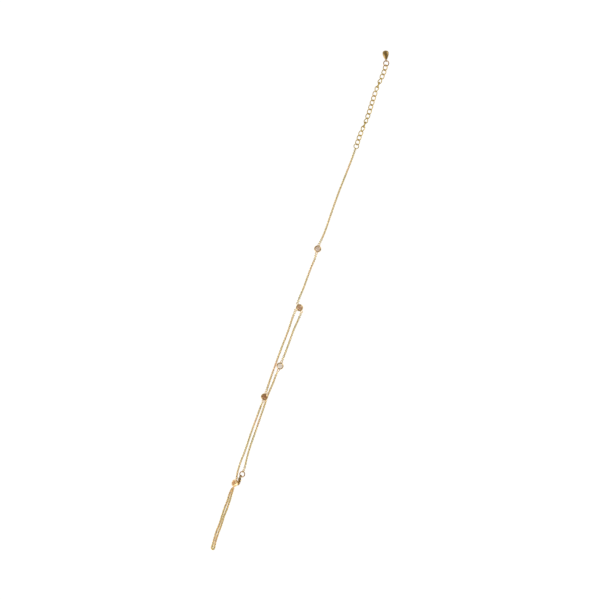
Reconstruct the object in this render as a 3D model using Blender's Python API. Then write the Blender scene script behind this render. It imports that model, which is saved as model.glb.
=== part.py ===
"""A toe anklet lying open on a flat surface: a fine anklet chain with an extender and a lobster clasp,
and a toe chain with its doubled toe loop, joined at a round stone setting.

The origin is the centre of the centre setting's flat back, on the surface. +X runs from the toe loop
to the end drop, +Y across the chain and +Z up. Lengths are in metres.
"""

import math

import bmesh
import bpy
import numpy as np
from mathutils import Matrix, Vector

MM = 0.001
UP = Vector((0.0, 0.0, 1.0))

# Clearances between pieces
HANG_GAP = 0.08 * MM  # between two wires, one hung in the other
RING_GAP = 0.12 * MM  # between an extender link and a ring
STONE_GAP = 0.05 * MM  # between a stone and its cup
LEVER_GAP = 0.1 * MM  # on each face of the clasp's lever
PIN_GAP = 0.07 * MM  # round the clasp's pin
STRAND_GAP = 0.35 * MM  # from an eye's outer edge to the plain part of a strand
REST_GAP = 0.02 * MM  # between a setting and the strand that it lies on

# Fine chain, as a round strand with one real link at each end
STRAND_DIAMETER = 1.0 * MM
STRAND_STEP = 4.2 * MM  # most between points of a strand
BEND_STEP = 16.0  # how far a strand turns from point to point, in degrees
BEND_ROOM = 0.35  # least distance between points of a bend, as a share of the diameter
FINE_WIRE = 0.3 * MM
END_LINK_LENGTH = 1.9 * MM
END_LINK_WIDTH = 1.3 * MM

# Extender's twisted links
LINK_COUNT = 18
LINK_LENGTH = 3.65 * MM
LINK_WIDTH = 2.6 * MM
LINK_WIRE = 0.5 * MM
LINK_TWIST = -0.4 * MM  # how far each corner of a link stands out of its plane
# The chain has two half turns, so these links stand on edge or lean, in degrees
LINK_ROLLS = {4: 142.0, 5: 90.0, 6: 38.0, 13: 142.0, 14: 90.0, 15: 38.0}

# Jump rings
RING_WIRE = 0.45 * MM
DROP_RING_DIAMETER = 3.4 * MM
END_RING_DIAMETER = 3.2 * MM
CLASP_RING_DIAMETER = 3.4 * MM
DROP_RING_LEAN = -17.0  # in degrees
END_RING_LEAN = 17.0
CLASP_RING_ROLL = -20.0
CLASP_RING_RAISE = 0.2 * MM  # of the clasp ring where the chain hangs in it

# Stones and their settings
STONE_DIAMETER = 3.0 * MM
STONE_TABLE = 1.65 * MM
STONE_CROWN = 0.42 * MM
STONE_GIRDLE = 0.08 * MM
STONE_PAVILION = 1.15 * MM
STONE_LOWER_SHARE = 0.3  # of the radius, where the pavilion's two rows of facets meet
CUP_WALL = 0.5 * MM
CUP_FLOOR = 0.2 * MM
CUP_RIM = 0.18 * MM  # above the stone's girdle
CUP_LIP = 0.07 * MM  # how far the rim reaches over the girdle
CUP_EDGE = 0.28 * MM  # rounding at the back
EAR_DIAMETER = 1.6 * MM
EAR_WIRE = 0.4 * MM
EAR_SINK = 0.25 * MM  # how deep an ear is soldered into the cup

# Lobster clasp, in its own plane: u from the eye to the tip of the claw, v to the claw's back
CLASP_THICKNESS = 1.3 * MM
EYE_DIAMETER = 2.0 * MM
EYE_HOLE = 1.3 * MM
EYE_THICKNESS = 0.5 * MM
EYE_SLACK = 0.15 * MM  # of the ring's wire off the middle of the eye
PIN_DIAMETER = 0.5 * MM
HUB_DIAMETER = 1.2 * MM
LEVER_THICKNESS = 0.5 * MM
LEVER_WIDTH = 0.45 * MM
CLASP_LEAN = 55.0
CLASP_HEADING = 179.0
CLASP_EDGE = 0.2 * MM
# Middle line of the claw with its half width there, in mm
CLAW = (
    (0.8, -0.3, 0.58), (1.3, -0.18, 0.82), (1.95, 0.13, 0.86), (2.55, 0.46, 0.64), (3.15, 0.66, 0.46),
    (3.78, 0.72, 0.39), (4.35, 0.5, 0.35), (4.8, 0.0, 0.34), (4.85, -0.62, 0.33), (4.55, -1.1, 0.3),
    (4.12, -1.36, 0.25), (3.75, -1.42, 0.19),
)
PIVOT = (2.0 * MM, -0.38 * MM)
SLOT = (1.04 * MM, 2.95 * MM)  # where the lever's slot starts and ends along u
SLOT_REACH = 3.0 * MM  # of the slot to each side, past the claw
GATE_END = (4.08 * MM, -0.86 * MM)
NUB_END = (1.9 * MM, 1.4 * MM)
NUB_RADIUS = 0.3 * MM
NUB_THICKNESS = 0.75 * MM
FACE_STEP = 0.01 * MM  # between faces of joined plates that would lie in one plane

# End drop
DROP_LENGTH = 4.9 * MM
DROP_WIDTH = 3.4 * MM
DROP_THICKNESS = 1.6 * MM
DROP_LOOP_DIAMETER = DROP_THICKNESS
DROP_LOOP_WIRE = 0.38 * MM
DROP_HEADING = 23.0
# The drop's outline as shares of its length from the loop and of its half width
DROP_SHAPE = (
    (0.0, 0.0), (0.02, 0.4), (0.14, 0.54), (0.27, 0.71), (0.4, 0.86), (0.52, 0.96), (0.64, 1.0),
    (0.76, 0.98), (0.87, 0.86), (0.95, 0.6), (0.99, 0.28), (1.0, 0.0),
)

# Points round each round thing
CUP_STEPS = 24
EAR_STEPS = 12
RING_STEPS = 16
LINK_STEPS = 14
END_LINK_STEPS = 12
DROP_STEPS = 20
PIN_STEPS = 16
SPAN_STEPS = 24  # along a smooth curve, between two chosen points
REST_STEPS = 56  # round a link, to find where it touches the surface
REST_ROUNDS = 4  # of lowering the links, each of which turns with its neighbours
WIRE_SIDES = 6
FINE_SIDES = 5

# Where the settings lie: x and y of the back's centre in mm, then heading and lean in degrees
SETTINGS = {
    "bezel_1": (33.8, 1.2, 2.0, 0.0),
    "centre_bezel": (0.0, 0.0, 0.0, 0.0),
    "bezel_2": (-33.8, -0.4, -3.0, 0.0),
    "bezel_3": (-52.6, 2.05, 0.0, 0.0),
    "toe_bezel": (-102.7, 1.22, 0.0, 55.0),
}
RIDING_SETTING = "bezel_3"  # lies on the strand beside it
STONES = {
    "bezel_1": "stone_1",
    "centre_bezel": "centre_stone",
    "bezel_2": "stone_2",
    "bezel_3": "stone_3",
    "toe_bezel": "toe_stone",
}
# Directions of the ears round each cup, in degrees
EAR_ANGLES = {
    "bezel_1": {"right": 0.0, "left": 180.0},
    "centre_bezel": {"right": 46.8, "toe": 141.0, "left": 225.2},
    "bezel_2": {"right": 0.0, "left": 180.0},
    "bezel_3": {"right": 0.0, "left": 180.0},
    "toe_bezel": {"right": 0.0, "left": 180.0},
}

# Where the clasp's ring and eye lie, in mm
CLASP_RING_PLACE = (-96.8, -0.38)
CLASP_EYE_PLACE = (-98.25, 0.05)

# Routes of the chains, as chosen points in mm
ROUTES = {
    "extender": [(94.1, -0.3), (99.4, -0.2), (104.8, -0.5), (112.0, -0.8), (119.7, -0.6), (127.0, -0.45),
                 (132.3, -0.8), (137.5, -1.2), (142.6, -0.8), (146.0, -0.2)],
    "chain_upper": [(90.0, -0.3), (79.0, 0.0), (67.0, 0.5), (54.5, 0.6), (43.9, 0.6), (39.5, 0.9)],
    "chain_mid": [(28.6, 0.9), (24.0, 1.2), (17.0, 1.4), (10.0, 1.5), (6.0, 1.8)],
    "clasp_chain_1": [(-5.5, -1.6), (-12.6, -1.0), (-19.7, -0.9), (-27.0, -0.75)],
    "clasp_chain_2": [(-38.6, -0.05), (-44.5, 0.15), (-50.0, 0.55), (-52.6, 0.7), (-55.4, 0.55), (-62.1, 0.5),
                      (-72.5, 0.45), (-83.0, 0.4), (-89.8, -0.1), (-92.6, -0.45)],
    "toe_chain_1": [(-5.6, 1.8), (-13.6, 1.7), (-24.0, 2.05), (-33.8, 2.2), (-42.0, 2.25), (-46.2, 2.2)],
    "toe_chain_2": [(-59.0, 2.25), (-63.6, 2.35), (-73.0, 2.5), (-84.0, 2.4), (-92.0, 2.65), (-96.2, 2.45)],
    "toe_loop": [(-109.8, 2.05), (-113.2, 1.9), (-117.3, 1.95), (-122.0, 2.0), (-126.6, 1.85), (-131.3, 2.0),
                 (-135.9, 1.85), (-139.0, 1.6), (-140.6, 1.45)],
}
# Half the distance between the toe loop's two strands at each point of its route, in mm
TOE_LOOP_SPREAD = (0.62, 0.6, 0.72, 0.58, 0.6, 0.66, 0.57, 0.6, 0.6)
TOE_LOOP_FAN = 21.0  # between each strand's first link and the toe bezel's axis, in degrees
TOE_LOOP_SHIFT = 0.13 * MM  # of each first link off the middle of their ear
TOE_LOOP_SLACK = 0.11 * MM  # of each first link along the chain


# Basic shapes

def new_object(name, mesh_data, material, smooth_angle=math.radians(40.0)):
    obj = bpy.data.objects.new(name, mesh_data)
    bpy.context.scene.collection.objects.link(obj)
    if mesh_data.materials:
        mesh_data.materials[0] = material
    else:
        mesh_data.materials.append(material)
    mesh_data.shade_smooth()
    mesh_data.set_sharp_from_angle(angle=smooth_angle)
    return obj


def mesh_from(bm, name):
    bmesh.ops.recalc_face_normals(bm, faces=bm.faces)
    mesh = bpy.data.meshes.new(name)
    bm.to_mesh(mesh)
    bm.free()
    return mesh


def closed_wire(points, wire, sides):
    """A wire of round section along a closed line of points that never runs straight up."""
    bm = bmesh.new()
    rings = []
    count = len(points)
    for i, point in enumerate(points):
        tangent = (points[(i + 1) % count] - points[i - 1]).normalized()
        across = UP.cross(tangent).normalized()
        over = tangent.cross(across)
        ring = []
        for k in range(sides):
            angle = 2.0 * math.pi * k / sides
            offset = across * math.cos(angle) + over * math.sin(angle)
            ring.append(bm.verts.new(point + offset * (wire / 2.0)))
        rings.append(ring)
    for i, ring in enumerate(rings):
        following = rings[(i + 1) % count]
        for k in range(sides):
            bm.faces.new((ring[k], ring[(k + 1) % sides], following[(k + 1) % sides], following[k]))
    return bm


def oval(length, width, steps, twist=0.0):
    """Points of a wire's centre line round an oval, its corners alternately raised and lowered by twist."""
    points = []
    for i in range(steps):
        angle = 2.0 * math.pi * i / steps
        points.append(Vector((
            length / 2.0 * math.cos(angle),
            width / 2.0 * math.sin(angle),
            twist * math.sin(2.0 * angle),
        )))
    return points


def ring_mesh(name, outer_diameter, wire, steps=RING_STEPS):
    centre_line = outer_diameter - wire
    return mesh_from(closed_wire(oval(centre_line, centre_line, steps), wire, WIRE_SIDES), name)


def turned(name, profile, steps):
    """A solid of revolution about Z from (radius, height) points that start and end on the axis."""
    bm = bmesh.new()
    verts = [bm.verts.new((radius, 0.0, height)) for radius, height in profile]
    edges = [bm.edges.new(pair) for pair in zip(verts, verts[1:])]
    bmesh.ops.spin(
        bm, geom=verts + edges, cent=(0.0, 0.0, 0.0), axis=UP, steps=steps, angle=2.0 * math.pi,
        use_merge=True,
    )
    bmesh.ops.remove_doubles(bm, verts=bm.verts, dist=1e-7)
    return mesh_from(bm, name)


def plate(name, outline, thickness, edge=0.0):
    """A plate of the given outline in the XY plane, centred on Z = 0, with its edges rounded."""
    bm = bmesh.new()
    verts = [bm.verts.new((u, v, -thickness / 2.0)) for u, v in outline]
    face = bm.faces.new(verts)
    raised = bmesh.ops.extrude_face_region(bm, geom=[face])["geom"]
    top = [item for item in raised if isinstance(item, bmesh.types.BMVert)]
    bmesh.ops.translate(bm, verts=top, vec=(0.0, 0.0, thickness))
    if edge:
        rims = [e for e in bm.edges if abs(e.verts[0].co.z - e.verts[1].co.z) < thickness / 2.0]
        bmesh.ops.bevel(bm, geom=rims, offset=edge, segments=2, affect="EDGES", profile=0.5)
    return mesh_from(bm, name)


def disc_outline(centre, radius, steps=CUP_STEPS):
    angles = [2.0 * math.pi * i / steps for i in range(steps)]
    return [(centre[0] + radius * math.cos(a), centre[1] + radius * math.sin(a)) for a in angles]


def helper(name, mesh, matrix, material):
    """A hidden solid for a Boolean."""
    obj = new_object(name, mesh, material)
    obj.matrix_world = matrix
    obj.hide_render = True
    obj.display_type = "WIRE"
    return obj


def combine(obj, others, operation):
    for other in others:
        modifier = obj.modifiers.new(other.name, "BOOLEAN")
        modifier.operation = operation
        modifier.solver = "EXACT"
        modifier.object = other


# Curves

def smooth_curve(points, per_span=SPAN_STEPS, start_way=None, end_way=None):
    """Many points along a smooth curve through the given points, however unevenly they are spaced."""
    points = [Vector(p) for p in points]
    spans = [(b - a).length for a, b in zip(points, points[1:])]
    slopes = [(b - a) / span for a, b, span in zip(points, points[1:], spans)]
    tangents = [start_way or slopes[0]]
    for i in range(1, len(slopes)):
        share = spans[i - 1] / (spans[i - 1] + spans[i])
        tangents.append(slopes[i - 1].lerp(slopes[i], share))
    tangents.append(end_way or slopes[-1])
    curve = []
    for i, span in enumerate(spans):
        for k in range(per_span):
            t = k / per_span
            curve.append(
                points[i] * (2.0 * t ** 3 - 3.0 * t ** 2 + 1.0)
                + tangents[i] * (span * (t ** 3 - 2.0 * t ** 2 + t))
                + points[i + 1] * (3.0 * t ** 2 - 2.0 * t ** 3)
                + tangents[i + 1] * (span * (t ** 3 - t ** 2))
            )
    curve.append(points[-1])
    return curve


def measured(curve):
    """The distance along the curve of each of its points."""
    steps = [0.0] + [(b - a).length for a, b in zip(curve, curve[1:])]
    return np.cumsum(steps)


def at_distances(curve, distances):
    """Places at these rising distances along the curve, which runs on straight past its last point."""
    onward = (curve[-1] - curve[-2]).normalized() * distances[-1]
    curve = curve + [curve[-1] + onward]
    along = measured(curve)
    columns = [np.interp(distances, along, [p[axis] for p in curve]) for axis in range(3)]
    return [Vector(p) for p in zip(*columns)]


def on_surface(points, height):
    """Points in mm as places at one height."""
    return [Vector((x * MM, y * MM, height)) for x, y in points]


# Places

def placed(x, y, z, heading=0.0, lean=0.0):
    """A frame turned by heading about Z, after leaning by lean towards its own +Y."""
    turn = Matrix.Rotation(math.radians(heading), 4, "Z") @ Matrix.Rotation(math.radians(-lean), 4, "X")
    return Matrix.Translation((x, y, z)) @ turn


class Eye:
    """A round eye that a link hangs in: its centre, the axis of its hole and its size."""

    def __init__(self, centre, axis, outer_diameter, wire):
        self.centre = centre
        self.axis = axis
        self.radius = (outer_diameter - wire) / 2.0
        self.wire = wire

    def towards(self, point):
        """Unit direction to the point within the eye's own plane."""
        way = point - self.centre
        return (way - self.axis * way.dot(self.axis)).normalized()


# Settings and stones

def stone_mesh():
    """A round brilliant with its table up and the bottom of its girdle at Z = 0."""
    radius = STONE_DIAMETER / 2.0
    table = STONE_TABLE / 2.0
    half_step = math.pi / 8.0
    crown_side = (radius + table) / 2.0
    crown_slope = STONE_CROWN / (radius - table)
    pavilion_side = STONE_LOWER_SHARE * radius
    rings = (
        (0.0, table, STONE_GIRDLE + STONE_CROWN),
        (half_step, crown_side, STONE_GIRDLE + crown_slope * (radius - crown_side * math.cos(half_step))),
        (0.0, radius, STONE_GIRDLE),
        (half_step, radius, STONE_GIRDLE),
        (0.0, radius, 0.0),
        (half_step, radius, 0.0),
        (half_step, pavilion_side, -STONE_PAVILION * (1.0 - pavilion_side * math.cos(half_step) / radius)),
    )
    bm = bmesh.new()
    bm.verts.new((0.0, 0.0, -STONE_PAVILION))
    for start, ring_radius, height in rings:
        for i in range(8):
            angle = start + 2.0 * half_step * i
            bm.verts.new((ring_radius * math.cos(angle), ring_radius * math.sin(angle), height))
    bmesh.ops.convex_hull(bm, input=bm.verts)
    return mesh_from(bm, "stone")


CUP_RADIUS = STONE_DIAMETER / 2.0 + CUP_WALL
GIRDLE_HEIGHT = CUP_FLOOR + STONE_GAP + STONE_PAVILION
EAR_HEIGHT = END_LINK_WIDTH / 2.0
EAR_REACH = CUP_RADIUS + EAR_DIAMETER / 2.0 - EAR_SINK


def cup_outside():
    """(radius, height) points of the cup's outer side, from its back up to its rim."""
    rim = GIRDLE_HEIGHT + STONE_GIRDLE + CUP_RIM
    corner = CUP_EDGE * (1.0 - math.cos(math.radians(45.0)))
    return [
        (CUP_RADIUS - CUP_EDGE, 0.0),
        (CUP_RADIUS - corner, corner),
        (CUP_RADIUS, CUP_EDGE),
        (CUP_RADIUS, rim - CUP_EDGE),
        (CUP_RADIUS - corner, rim - corner),
        (CUP_RADIUS - CUP_EDGE, rim),
    ]


def cup_profile():
    girdle = STONE_DIAMETER / 2.0
    girdle_top = GIRDLE_HEIGHT + STONE_GIRDLE
    rim = girdle_top + CUP_RIM
    inside = [
        (girdle - CUP_LIP, rim - STONE_GAP / 2.0),
        (girdle + STONE_GAP, girdle_top + STONE_GAP),
        (girdle + STONE_GAP, GIRDLE_HEIGHT - STONE_GAP),
        (STONE_GAP * 2.0, CUP_FLOOR),
        (0.0, CUP_FLOOR),
    ]
    return [(0.0, 0.0)] + cup_outside() + inside


def setting_lift(name, lean):
    """How high the back's centre is when the cup lies on a strand, leans on its edge or lies flat."""
    if name == RIDING_SETTING:
        return STRAND_DIAMETER + REST_GAP
    if not lean:
        return 0.0
    angle = math.radians(lean)
    return max(radius * math.sin(angle) - height * math.cos(angle) for radius, height in cup_outside())


def setting(name, gold, crystal):
    """A cup with its ears and its stone. Returns the ears by their names."""
    x, y, heading, lean = SETTINGS[name]
    frame = placed(x * MM, y * MM, setting_lift(name, lean), heading, lean)
    cup = new_object(name, turned(name, cup_profile(), CUP_STEPS), gold)
    cup.matrix_world = frame
    ears = {}
    solids = []
    for ear, direction in EAR_ANGLES[name].items():
        angle = math.radians(direction)
        place = Vector((EAR_REACH * math.cos(angle), EAR_REACH * math.sin(angle), EAR_HEIGHT))
        mesh = ring_mesh(f"{name}_ear", EAR_DIAMETER, EAR_WIRE, EAR_STEPS)
        solids.append(helper(f"{name}_ear_{ear}", mesh, frame @ Matrix.Translation(place), gold))
        ears[ear] = Eye(frame @ place, (frame.to_3x3() @ UP).normalized(), EAR_DIAMETER, EAR_WIRE)
    combine(cup, solids, "UNION")
    stone = new_object(STONES[name], stone_mesh(), crystal, smooth_angle=math.radians(5.0))
    stone.matrix_world = frame @ Matrix.Translation((0.0, 0.0, GIRDLE_HEIGHT))
    return ears


# Chains

def strand_end(eye, way, shift):
    """Where a strand starts that hangs in the eye and leaves it along way: its first point and its link."""
    start = eye.centre + shift
    near = eye.radius - (eye.wire + FINE_WIRE) / 2.0 - HANG_GAP
    link_middle = start + way * (near + (END_LINK_LENGTH - FINE_WIRE) / 2.0)
    side = eye.axis.cross(way).normalized()
    turn = Matrix((way, side.cross(way) * -1.0, side)).transposed().to_4x4()
    first = start + way * (eye.radius + eye.wire / 2.0 + STRAND_GAP)
    return first, Matrix.Translation(link_middle) @ turn


def strand_points(curve):
    """Some of the curve's points: close together where it bends, wider apart where it runs straight."""
    ways = [(b - a).normalized() for a, b in zip(curve, curve[1:])]
    shortest = STRAND_DIAMETER * BEND_ROOM
    chosen = [curve[0]]
    way = ways[0]
    for point, ahead in zip(curve[1:-1], ways[1:]):
        step = (point - chosen[-1]).length
        bends = math.degrees(way.angle(ahead)) > BEND_STEP and step > shortest
        if bends or step > STRAND_STEP:
            chosen.append(point)
            way = ahead
    if (curve[-1] - chosen[-1]).length < shortest and len(chosen) > 1:
        chosen.pop()
    chosen.append(curve[-1])
    return chosen


def strand(name, route, gold, start, end):
    """A strand along the route's places. start and end are (eye, way, shift) of its two ends."""
    low = STRAND_DIAMETER / 2.0
    first, first_link = strand_end(*start)
    last, last_link = strand_end(*end)
    curve = smooth_curve([first] + route + [last], start_way=start[1], end_way=-end[1])
    points = strand_points(curve)
    data = bpy.data.curves.new(name, "CURVE")
    data.dimensions = "3D"
    data.bevel_depth = STRAND_DIAMETER / 2.0
    data.bevel_resolution = 2
    data.use_fill_caps = True
    spline = data.splines.new("POLY")
    spline.points.add(len(points) - 1)
    for point, place in zip(spline.points, points):
        point.co = (place.x, place.y, max(place.z, low), 1.0)
    tube = bpy.data.objects.new(f"{name}_tube", data)
    bpy.context.scene.collection.objects.link(tube)
    graph = bpy.context.evaluated_depsgraph_get()
    mesh = bpy.data.meshes.new_from_object(tube.evaluated_get(graph))
    bpy.data.objects.remove(tube)
    obj = new_object(name, mesh, gold)
    weld = obj.modifiers.new("weld", "WELD")
    weld.merge_threshold = 1e-6
    links = []
    for tag, frame in (("a", first_link), ("b", last_link)):
        centre_line = oval(END_LINK_LENGTH - FINE_WIRE, END_LINK_WIDTH - FINE_WIRE, END_LINK_STEPS)
        link = mesh_from(closed_wire(centre_line, FINE_WIRE, FINE_SIDES), f"{name}_link")
        links.append(helper(f"{name}_link_{tag}", link, frame, gold))
    combine(obj, links, "UNION")
    return obj


def strand_between(name, gold, start_eye, end_eye):
    route = on_surface(ROUTES[name], STRAND_DIAMETER / 2.0)
    no_shift = Vector((0.0, 0.0, 0.0))
    start = (start_eye, start_eye.towards(route[0]), no_shift)
    end = (end_eye, end_eye.towards(route[-1]), no_shift)
    strand(name, route, gold, start, end)


def toe_loop(gold, ear):
    """The doubled chain: out along one side of its route, round the end and back along the other."""
    low = STRAND_DIAMETER / 2.0
    middle = on_surface(ROUTES["toe_loop"], low)
    right, left = [], []
    for i, point in enumerate(middle):
        forward = (middle[min(i + 1, len(middle) - 1)] - middle[max(i - 1, 0)]).normalized()
        side = UP.cross(forward) * TOE_LOOP_SPREAD[i] * MM
        left.append(point + side)
        right.append(point - side)
    ahead = (middle[-1] - middle[-2]).normalized()
    tip = middle[-1] + ahead * TOE_LOOP_SPREAD[-1] * MM
    way = ear.towards(middle[0])
    fan_left = Matrix.Rotation(math.radians(TOE_LOOP_FAN), 3, ear.axis) @ way
    fan_right = Matrix.Rotation(math.radians(-TOE_LOOP_FAN), 3, ear.axis) @ way
    shift = ear.axis.cross(way) * TOE_LOOP_SHIFT
    slack = way * TOE_LOOP_SLACK
    route = left + [tip] + right[::-1]
    strand("toe_loop", route, gold, (ear, fan_left, shift - slack), (ear, fan_right, -shift - slack))


# Extender, rings and drop

def link_turn(before, after, roll):
    """A link's turn between its two neighbours' places, rolled about its length."""
    along = (after - before).to_track_quat("X", "Z").to_matrix()
    return along @ Matrix.Rotation(math.radians(roll), 3, "X")


def lay_links(places, rolls):
    """Lower or raise each link between its neighbours until its wire rests on the surface."""
    centre_line = oval(LINK_LENGTH - LINK_WIRE, LINK_WIDTH - LINK_WIRE, REST_STEPS, LINK_TWIST)
    for _ in range(REST_ROUNDS):
        for i, roll in enumerate(rolls, start=1):
            turn = link_turn(places[i - 1], places[i + 1], roll)
            places[i].z = LINK_WIRE / 2.0 - min((turn @ point).z for point in centre_line)


def hung_distance(ring_diameter):
    """From the middle of an extender link to the middle of a ring that hangs in its end."""
    ring_radius = (ring_diameter - RING_WIRE) / 2.0
    return (LINK_LENGTH - LINK_WIRE) / 2.0 - (LINK_WIRE + RING_WIRE) / 2.0 - RING_GAP + ring_radius


def ring_height(diameter, lean):
    return (diameter - RING_WIRE) / 2.0 * math.sin(math.radians(abs(lean))) + RING_WIRE / 2.0


def extender(gold):
    """The row of links with a ring at each end. Returns the end ring's eye and the drop ring's frame."""
    pitch = LINK_LENGTH - 2.0 * LINK_WIRE - HANG_GAP
    curve = smooth_curve(on_surface(ROUTES["extender"], 0.0))
    first = hung_distance(END_RING_DIAMETER)
    distances = [first + pitch * i for i in range(LINK_COUNT)]
    distances = [0.0] + distances + [distances[-1] + hung_distance(DROP_RING_DIAMETER)]
    places = at_distances(curve, distances)
    numbers = list(range(LINK_COUNT, 0, -1))
    rolls = [LINK_ROLLS.get(number, 0.0) for number in numbers]
    places[0].z = ring_height(END_RING_DIAMETER, END_RING_LEAN)
    places[-1].z = ring_height(DROP_RING_DIAMETER, DROP_RING_LEAN)
    lay_links(places, rolls)
    centre_line = oval(LINK_LENGTH - LINK_WIRE, LINK_WIDTH - LINK_WIRE, LINK_STEPS, LINK_TWIST)
    mesh = mesh_from(closed_wire(centre_line, LINK_WIRE, WIRE_SIDES), "extender_link")
    for i, (number, roll) in enumerate(zip(numbers, rolls), start=1):
        obj = new_object(f"extender_link_{number:02d}", mesh, gold)
        turn = link_turn(places[i - 1], places[i + 1], roll)
        obj.matrix_world = Matrix.Translation(places[i]) @ turn.to_4x4()
    return places[0], places[-1]


def jump_ring(name, diameter, frame, gold):
    obj = new_object(name, ring_mesh(name, diameter, RING_WIRE), gold)
    obj.matrix_world = frame
    return Eye(frame.translation.copy(), (frame.to_3x3() @ UP).normalized(), diameter, RING_WIRE)


def end_drop(gold, ring):
    """A flattened pear with a loop at its narrow end, hung in the drop ring."""
    angle = math.radians(DROP_HEADING)
    way = Vector((math.cos(angle), math.sin(angle), 0.0))
    hang = ring.towards(ring.centre + way)
    loop_radius = (DROP_LOOP_DIAMETER - DROP_LOOP_WIRE) / 2.0
    reach = ring.radius + loop_radius - (RING_WIRE + DROP_LOOP_WIRE) / 2.0 - HANG_GAP
    centre = ring.centre + hang * reach
    centre.z = DROP_THICKNESS / 2.0
    frame = placed(*centre, heading=DROP_HEADING)
    half = DROP_WIDTH / 2.0
    profile = [(half * width, loop_radius + DROP_LENGTH * along) for along, width in reversed(DROP_SHAPE)]
    body = turned("end_drop", profile, DROP_STEPS)
    body.transform(Matrix.Scale(DROP_THICKNESS / DROP_WIDTH, 4, (1.0, 0.0, 0.0)))
    body.transform(Matrix.Rotation(math.radians(90.0), 4, "Y"))
    obj = new_object("end_drop", body, gold)
    obj.matrix_world = frame
    loop = ring_mesh("drop_loop", DROP_LOOP_DIAMETER, DROP_LOOP_WIRE)
    upright = Matrix.Rotation(math.radians(90.0), 4, "X")
    combine(obj, [helper("drop_loop", loop, frame @ upright, gold)], "UNION")


# Clasp

def ribbon(points):
    """Outline along a smooth middle line of (u, v, half width) points in mm."""
    curve = smooth_curve([(u * MM, v * MM, half * MM) for u, v, half in points], per_span=2)
    left, right = [], []
    for i, point in enumerate(curve):
        way = curve[min(i + 1, len(curve) - 1)] - curve[max(i - 1, 0)]
        side = Vector((-way.y, way.x)).normalized() * point.z
        left.append((point.x + side.x, point.y + side.y))
        right.append((point.x - side.x, point.y - side.y))
    return right + left[::-1]


def bar_outline(start, end, width):
    way = (Vector(end) - Vector(start)).normalized()
    side = Vector((-way.y, way.x)) * (width / 2.0)
    corners = (Vector(start) - side, Vector(end) - side, Vector(end) + side, Vector(start) + side)
    return [tuple(corner) for corner in corners]


def lobster_clasp(gold, frame):
    body = new_object("clasp_body", plate("clasp_body", ribbon(CLAW), CLASP_THICKNESS, CLASP_EDGE), gold)
    body.matrix_world = frame
    eye = plate("clasp_eye", disc_outline((0.0, 0.0), EYE_DIAMETER / 2.0), EYE_THICKNESS, CLASP_EDGE / 2.0)
    hole = plate("eye_hole", disc_outline((0.0, 0.0), EYE_HOLE / 2.0), CLASP_THICKNESS)
    middle = (SLOT[0] + SLOT[1]) / 2.0
    slot_box = bar_outline((middle, -SLOT_REACH), (middle, SLOT_REACH), SLOT[1] - SLOT[0])
    slot = plate("lever_slot", slot_box, LEVER_THICKNESS + 2.0 * LEVER_GAP)
    pin = plate("clasp_pin", disc_outline(PIVOT, PIN_DIAMETER / 2.0, PIN_STEPS), CLASP_THICKNESS - CLASP_EDGE)
    combine(body, [helper("clasp_eye", eye, frame, gold)], "UNION")
    cuts = [helper("eye_hole", hole, frame, gold), helper("lever_slot", slot, frame, gold)]
    combine(body, cuts, "DIFFERENCE")
    combine(body, [helper("clasp_pin", pin, frame, gold)], "UNION")

    lever = plate("clasp_lever", disc_outline((0.0, 0.0), HUB_DIAMETER / 2.0), LEVER_THICKNESS)
    pivot_frame = frame @ Matrix.Translation((*PIVOT, 0.0))
    obj = new_object("clasp_lever", lever, gold)
    obj.matrix_world = pivot_frame
    gate_end = (GATE_END[0] - PIVOT[0], GATE_END[1] - PIVOT[1])
    nub_end = (NUB_END[0] - PIVOT[0], NUB_END[1] - PIVOT[1])
    gate = plate("gate", bar_outline((0.0, 0.0), gate_end, LEVER_WIDTH), LEVER_THICKNESS - FACE_STEP)
    arm = plate("nub_arm", bar_outline((0.0, 0.0), nub_end, LEVER_WIDTH), LEVER_THICKNESS - 2.0 * FACE_STEP)
    nub = plate("nub", disc_outline(nub_end, NUB_RADIUS, PIN_STEPS), NUB_THICKNESS, CLASP_EDGE / 2.0)
    bore = plate("bore", disc_outline((0.0, 0.0), PIN_DIAMETER / 2.0 + PIN_GAP), CLASP_THICKNESS)
    combine(obj, [helper("gate", gate, pivot_frame, gold), helper("nub_arm", arm, pivot_frame, gold),
                  helper("nub", nub, pivot_frame, gold)], "UNION")
    combine(obj, [helper("bore", bore, pivot_frame, gold)], "DIFFERENCE")


def clasp_lift():
    """Height of the clasp's eye when the claw leans on the edge of its tip."""
    angle = math.radians(CLASP_LEAN)
    low = min(v - half for _, v, half in CLAW) * MM
    return -low * math.sin(angle) + CLASP_THICKNESS / 2.0 * math.cos(angle)


def clasp_ring_frame(eye_centre):
    """The ring through the clasp's eye: raised towards the eye, low where the chain hangs in it."""
    radius = (CLASP_RING_DIAMETER - RING_WIRE) / 2.0
    centre = Vector((CLASP_RING_PLACE[0] * MM, CLASP_RING_PLACE[1] * MM, 0.0))
    towards_eye = Vector((eye_centre.x - centre.x, eye_centre.y - centre.y, 0.0)).normalized()
    low = STRAND_DIAMETER / 2.0 + CLASP_RING_RAISE
    slope = (eye_centre.z - low) / (2.0 * radius + EYE_SLACK + RING_WIRE / 2.0 + STRAND_GAP)
    flat = math.sqrt(1.0 - slope * slope)
    up_way = towards_eye * flat + UP * slope
    centre = eye_centre - up_way * (radius + EYE_SLACK)
    side = UP.cross(towards_eye)
    axis = up_way.cross(side).normalized()
    roll = Matrix.Rotation(math.radians(CLASP_RING_ROLL), 3, up_way)
    side, axis = roll @ side, roll @ axis
    return Matrix.Translation(centre) @ Matrix((up_way, side, axis)).transposed().to_4x4()


# Assembly

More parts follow.
